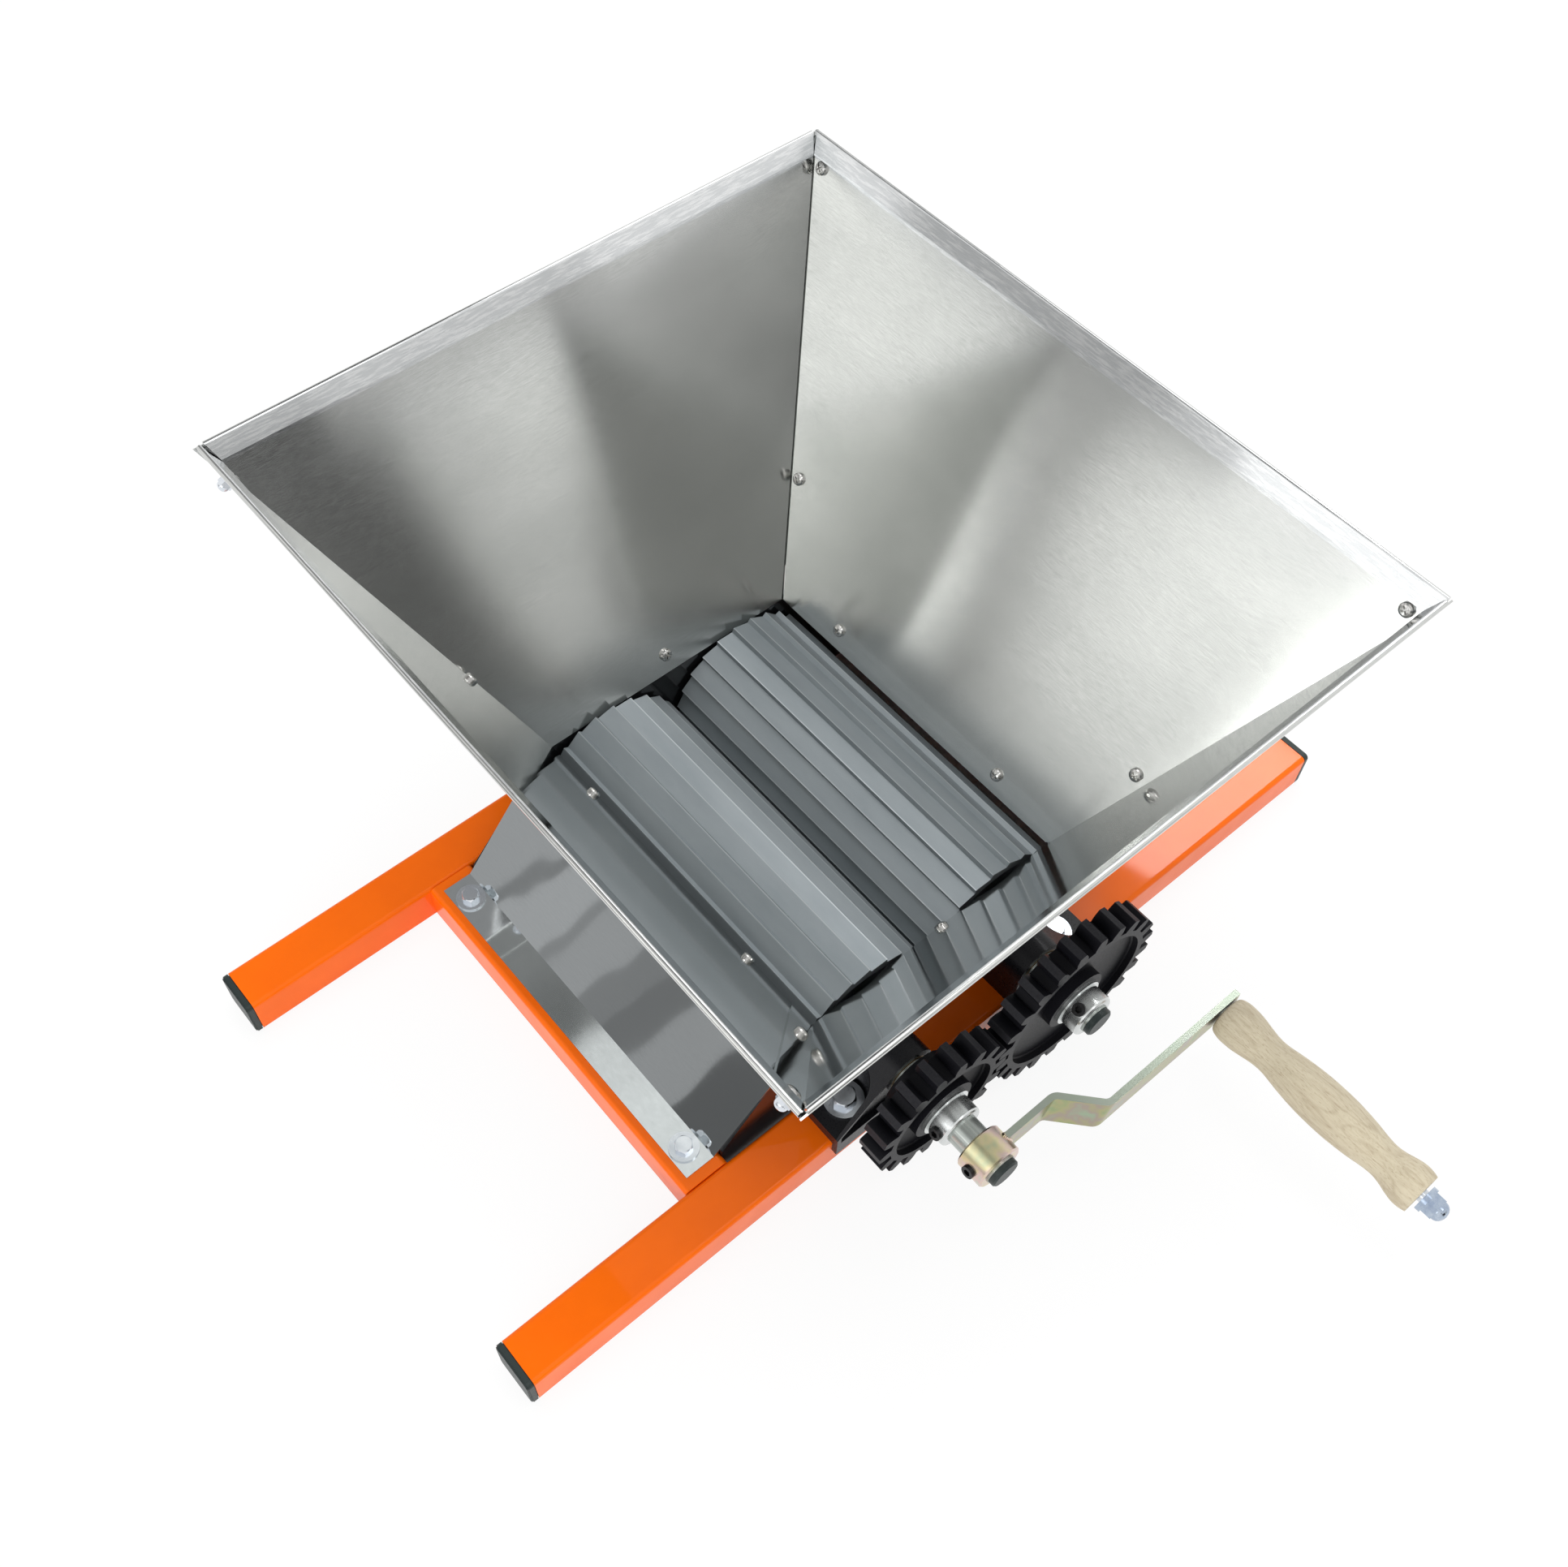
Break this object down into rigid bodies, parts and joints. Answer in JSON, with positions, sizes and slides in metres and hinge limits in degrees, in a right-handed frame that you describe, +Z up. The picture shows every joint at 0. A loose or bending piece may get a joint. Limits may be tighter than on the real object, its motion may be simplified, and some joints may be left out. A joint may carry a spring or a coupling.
{
  "type": "hand cranked grape crusher",
  "caption": "Hand cranked fruit crusher: a sheet steel hopper over two geared sawtooth rollers on a tubular frame that rests across a tub.",
  "frame": {"origin": "middle of the frame, level with the underside of the two long rails", "axes": "+X along the long rails, -Y towards the gears and the crank, +Z up out of the hopper"},
  "size_m": [0.631, 0.635, 0.346],
  "materials": {
    "orange_paint": "glossy powder coat",
    "stainless_sheet": "fine brushed sheet",
    "black_plastic": "moulded, low sheen",
    "bronze": "plain turned bush",
    "zinc_plate": "bright bluish zinc plate",
    "stainless_screw": "bright pan heads",
    "plated_shaft": "grey zinc plate with lengthwise lines",
    "cast_roller": "matte cast, worn at the tooth crests",
    "black_gear": "black coated casting, lightly worn teeth",
    "turned_collar": "bright turned steel",
    "black_screw": "black oxide",
    "yellow_zinc": "yellow zinc plate",
    "beech": "turned, unvarnished"
  },
  "bodies": {
    "frame": {"front_rail": "orange_paint", "rear_rail": "orange_paint", "left_cross_tube": "orange_paint", "right_cross_tube": "orange_paint", "rail_end_caps": "black_plastic", "left_deflector": "stainless_sheet", "right_deflector": "stainless_sheet", "deflector_bolts": "zinc_plate", "deflector_washers": "zinc_plate", "deflector_nuts": "zinc_plate", "front_end_wall": "black_plastic", "rear_end_wall": "black_plastic", "front_left_block": "black_plastic", "front_right_block": "black_plastic", "rear_left_block": "black_plastic", "rear_right_block": "black_plastic", "shaft_bushes": "bronze", "block_bolts": "zinc_plate", "block_washers": "zinc_plate", "block_nuts": "zinc_plate", "hopper_front_panel": "stainless_sheet", "hopper_rear_panel": "stainless_sheet", "hopper_left_panel": "stainless_sheet", "hopper_right_panel": "stainless_sheet", "corner_screws": "stainless_screw", "corner_nuts": "zinc_plate", "mouth_screws": "stainless_screw", "mouth_nuts": "zinc_plate"},
    "drive_roller_body": {"drive_shaft": "plated_shaft", "drive_roller": "cast_roller", "drive_gear": "black_gear", "drive_spacer": "plated_shaft", "drive_collar": "turned_collar", "drive_set_screw": "black_screw", "drive_shaft_caps": "black_plastic", "crank_hub": "yellow_zinc", "crank_set_screw": "black_screw", "crank_arm": "yellow_zinc", "handle_pin": "zinc_plate", "handle_washers": "zinc_plate", "handle_lock_nut": "zinc_plate"},
    "driven_roller_body": {"driven_shaft": "plated_shaft", "driven_roller": "cast_roller", "driven_gear": "black_gear", "driven_spacer": "plated_shaft", "driven_collar": "turned_collar", "driven_set_screw": "black_screw", "driven_shaft_caps": "black_plastic"},
    "handle_body": {"handle_grip": "beech"}
  },
  "joints": [
    {"name": "crank_turn", "type": "hinge", "parent": "frame", "child": "drive_roller_body", "pos_m": [-0.0525, 0, 0.0605], "axis": [0, -1, 0], "continuous": true},
    {"name": "driven_turn", "type": "hinge", "parent": "frame", "child": "driven_roller_body", "pos_m": [0.0525, 0, 0.0605], "axis": [0, -1, 0], "continuous": true},
    {"name": "handle_spin", "type": "hinge", "parent": "drive_roller_body", "child": "handle_body", "pos_m": [0.1135, -0.3, 0.0605], "axis": [0, -1, 0], "continuous": true}
  ],
  "couplings": [
    {"joint": "driven_turn", "follows": "crank_turn", "ratio": -0.75}
  ]
}
